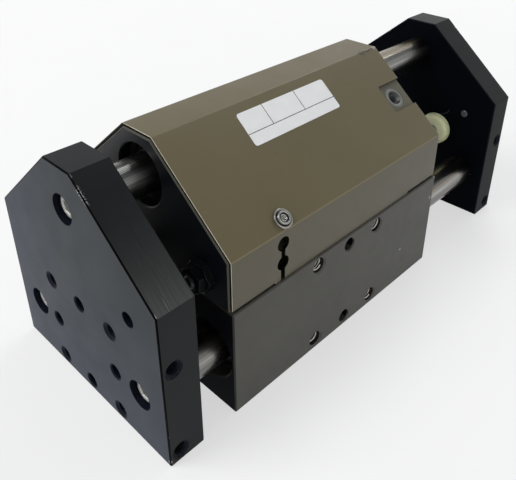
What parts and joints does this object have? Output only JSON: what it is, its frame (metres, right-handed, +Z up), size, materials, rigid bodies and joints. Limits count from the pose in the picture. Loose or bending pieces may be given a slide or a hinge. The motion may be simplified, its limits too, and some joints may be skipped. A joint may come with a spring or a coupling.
{
  "type": "pneumatic slide table",
  "caption": "Pneumatic slide table: base block with bearing blocks under a sheet hood, and end plates on guide rods driven by a built-in cylinder",
  "frame": {"origin": "centre of the base block's underside", "axes": "+X towards the rear plate along the slide, +Z up out of the mounting surface, -Y towards the side with the cable slot"},
  "size_m": [0.24, 0.1, 0.1063],
  "materials": {
    "plate_anodised": "black anodised, fine brushed grain, worn at the edges",
    "block_anodised": "dark anodised, satin",
    "bearing_block_metal": "hard anodised grey, satin",
    "hood_sheet": "dark bronze coat, satin, light scratches",
    "rod_steel": "ground and hard chromed, polished",
    "screw_steel": "zinc plated, bright",
    "spring_steel": "blackened, satin",
    "bushing_steel": "ground steel",
    "cover_metal": "turned, satin",
    "insert_wire": "bright wound wire",
    "black_rubber": "matt",
    "bumper_polyurethane": "cream, matt",
    "magnet_plastic": "matt",
    "label_film": "blank printed grid, matt"
  },
  "bodies": {
    "body": {"base_block": "block_anodised", "front_bearing_block": "bearing_block_metal", "rear_bearing_block": "bearing_block_metal", "block_screws": "screw_steel", "hood": "hood_sheet", "hood_screws": "screw_steel", "hood_washers": "screw_steel", "label": "label_film", "top_front_bushing": "bushing_steel", "top_rear_bushing": "bushing_steel", "left_front_bushing": "bushing_steel", "left_rear_bushing": "bushing_steel", "right_front_bushing": "bushing_steel", "right_rear_bushing": "bushing_steel", "rod_wipers": "black_rubber", "cylinder_front_cover": "cover_metal", "cylinder_rear_cover": "cover_metal", "cover_rings": "spring_steel", "cover_orings": "black_rubber", "rod_seal": "black_rubber", "port_inserts": "screw_steel", "passage_orings": "black_rubber", "passage_plug": "screw_steel", "thread_inserts": "insert_wire", "stop_bushing": "spring_steel", "stop_screw": "spring_steel", "stop_nut": "spring_steel"},
    "carriage": {"front_plate": "plate_anodised", "rear_plate": "plate_anodised", "guide_rod_top": "rod_steel", "guide_rod_left": "rod_steel", "guide_rod_right": "rod_steel", "front_plate_screws": "screw_steel", "rear_plate_screws": "screw_steel", "front_stop_pin": "screw_steel", "rear_stop_pin": "screw_steel", "bumper": "bumper_polyurethane", "bumper_stud": "screw_steel", "piston_rod": "rod_steel", "piston": "cover_metal", "piston_seals": "black_rubber", "piston_magnet": "magnet_plastic", "piston_nut": "screw_steel"}
  },
  "joints": [
    {"name": "carriage_slide", "type": "slide", "parent": "body", "child": "carriage", "axis": [1, 0, 0], "range_m": [-0.0506, 0.0094]}
  ]
}
